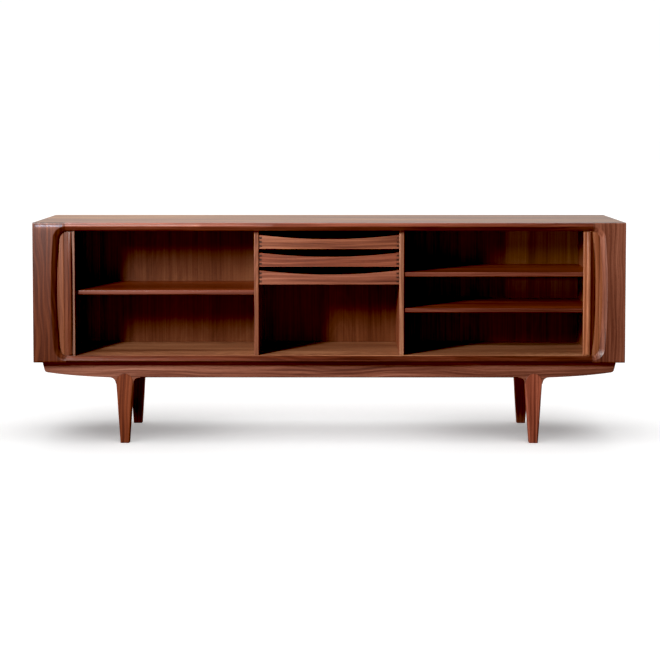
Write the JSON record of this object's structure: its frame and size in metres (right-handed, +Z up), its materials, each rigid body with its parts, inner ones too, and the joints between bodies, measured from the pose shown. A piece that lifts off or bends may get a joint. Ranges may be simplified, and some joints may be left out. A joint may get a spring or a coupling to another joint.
{
  "type": "sideboard buffet",
  "caption": "Long low walnut sideboard on a separate leg base, with roll doors, scooped drawers and shelves behind a sculpted front frame.",
  "frame": {"origin": "on the floor, under the middle of the sideboard's outer box", "axes": "+X to the right along the length seen from the front, -Y out of the front, +Z up"},
  "size_m": [2.2, 0.5, 0.83],
  "materials": {
    "walnut_top": "satin oil-finished walnut veneer, straight grain along the length",
    "walnut_side": "satin oil-finished walnut veneer, grain upright",
    "walnut_frame": "satin oil-finished solid walnut with figured grain",
    "walnut_interior": "satin walnut veneer, darker, grain upright",
    "walnut_edge": "satin walnut, light front edges",
    "walnut_tambour": "satin solid walnut slats, grain upright",
    "walnut_drawer": "satin solid walnut, grain along the length",
    "walnut_base": "satin oil-finished solid walnut"
  },
  "bodies": {
    "carcass": {"top_panel": "walnut_top", "left_side_panel": "walnut_side", "right_side_panel": "walnut_side", "back_panel": "walnut_side", "bottom_panel": "walnut_side", "left_front_stile": "walnut_frame", "right_front_stile": "walnut_frame", "top_front_rail": "walnut_frame", "bottom_front_rail": "walnut_frame", "inner_back": "walnut_interior", "left_inner_side": "walnut_interior", "right_inner_side": "walnut_interior", "left_divider": "walnut_edge", "right_divider": "walnut_edge", "left_shelf": "walnut_edge", "left_shelf_inner_cleat": "walnut_interior", "left_shelf_outer_cleat": "walnut_interior", "right_upper_shelf": "walnut_edge", "right_upper_shelf_inner_cleat": "walnut_interior", "right_upper_shelf_outer_cleat": "walnut_interior", "right_lower_shelf": "walnut_edge", "right_lower_shelf_inner_cleat": "walnut_interior", "right_lower_shelf_outer_cleat": "walnut_interior", "left_door_curtain": "walnut_tambour", "right_door_curtain": "walnut_tambour", "drawer_1_left_runner": "walnut_interior", "drawer_1_right_runner": "walnut_interior", "drawer_2_left_runner": "walnut_interior", "drawer_2_right_runner": "walnut_interior", "drawer_3_left_runner": "walnut_interior", "drawer_3_right_runner": "walnut_interior", "front_base_rail": "walnut_base", "rear_base_rail": "walnut_base", "front_left_leg": "walnut_base", "front_right_leg": "walnut_base", "rear_left_leg": "walnut_base", "rear_right_leg": "walnut_base", "left_cross_rail": "walnut_base", "right_cross_rail": "walnut_base"},
    "left_door": {"left_door_handle": "walnut_tambour", "left_door_lead_slats": "walnut_tambour"},
    "right_door": {"right_door_handle": "walnut_tambour", "right_door_lead_slats": "walnut_tambour"},
    "drawer_1": {"drawer_1_front": "walnut_drawer", "drawer_1_left_side": "walnut_drawer", "drawer_1_right_side": "walnut_drawer", "drawer_1_back": "walnut_drawer", "drawer_1_bottom": "walnut_drawer"},
    "drawer_2": {"drawer_2_front": "walnut_drawer", "drawer_2_left_side": "walnut_drawer", "drawer_2_right_side": "walnut_drawer", "drawer_2_back": "walnut_drawer", "drawer_2_bottom": "walnut_drawer"},
    "drawer_3": {"drawer_3_front": "walnut_drawer", "drawer_3_left_side": "walnut_drawer", "drawer_3_right_side": "walnut_drawer", "drawer_3_back": "walnut_drawer", "drawer_3_bottom": "walnut_drawer"}
  },
  "joints": [
    {"name": "left_door_slide", "type": "slide", "parent": "carcass", "child": "left_door", "axis": [-1, 0, 0], "range_m": [-0.945, 0]},
    {"name": "right_door_slide", "type": "slide", "parent": "carcass", "child": "right_door", "axis": [1, 0, 0], "range_m": [-0.945, 0]},
    {"name": "drawer_1_slide", "type": "slide", "parent": "carcass", "child": "drawer_1", "axis": [0, -1, 0], "range_m": [0, 0.28]},
    {"name": "drawer_2_slide", "type": "slide", "parent": "carcass", "child": "drawer_2", "axis": [0, -1, 0], "range_m": [0, 0.28]},
    {"name": "drawer_3_slide", "type": "slide", "parent": "carcass", "child": "drawer_3", "axis": [0, -1, 0], "range_m": [0, 0.28]}
  ]
}
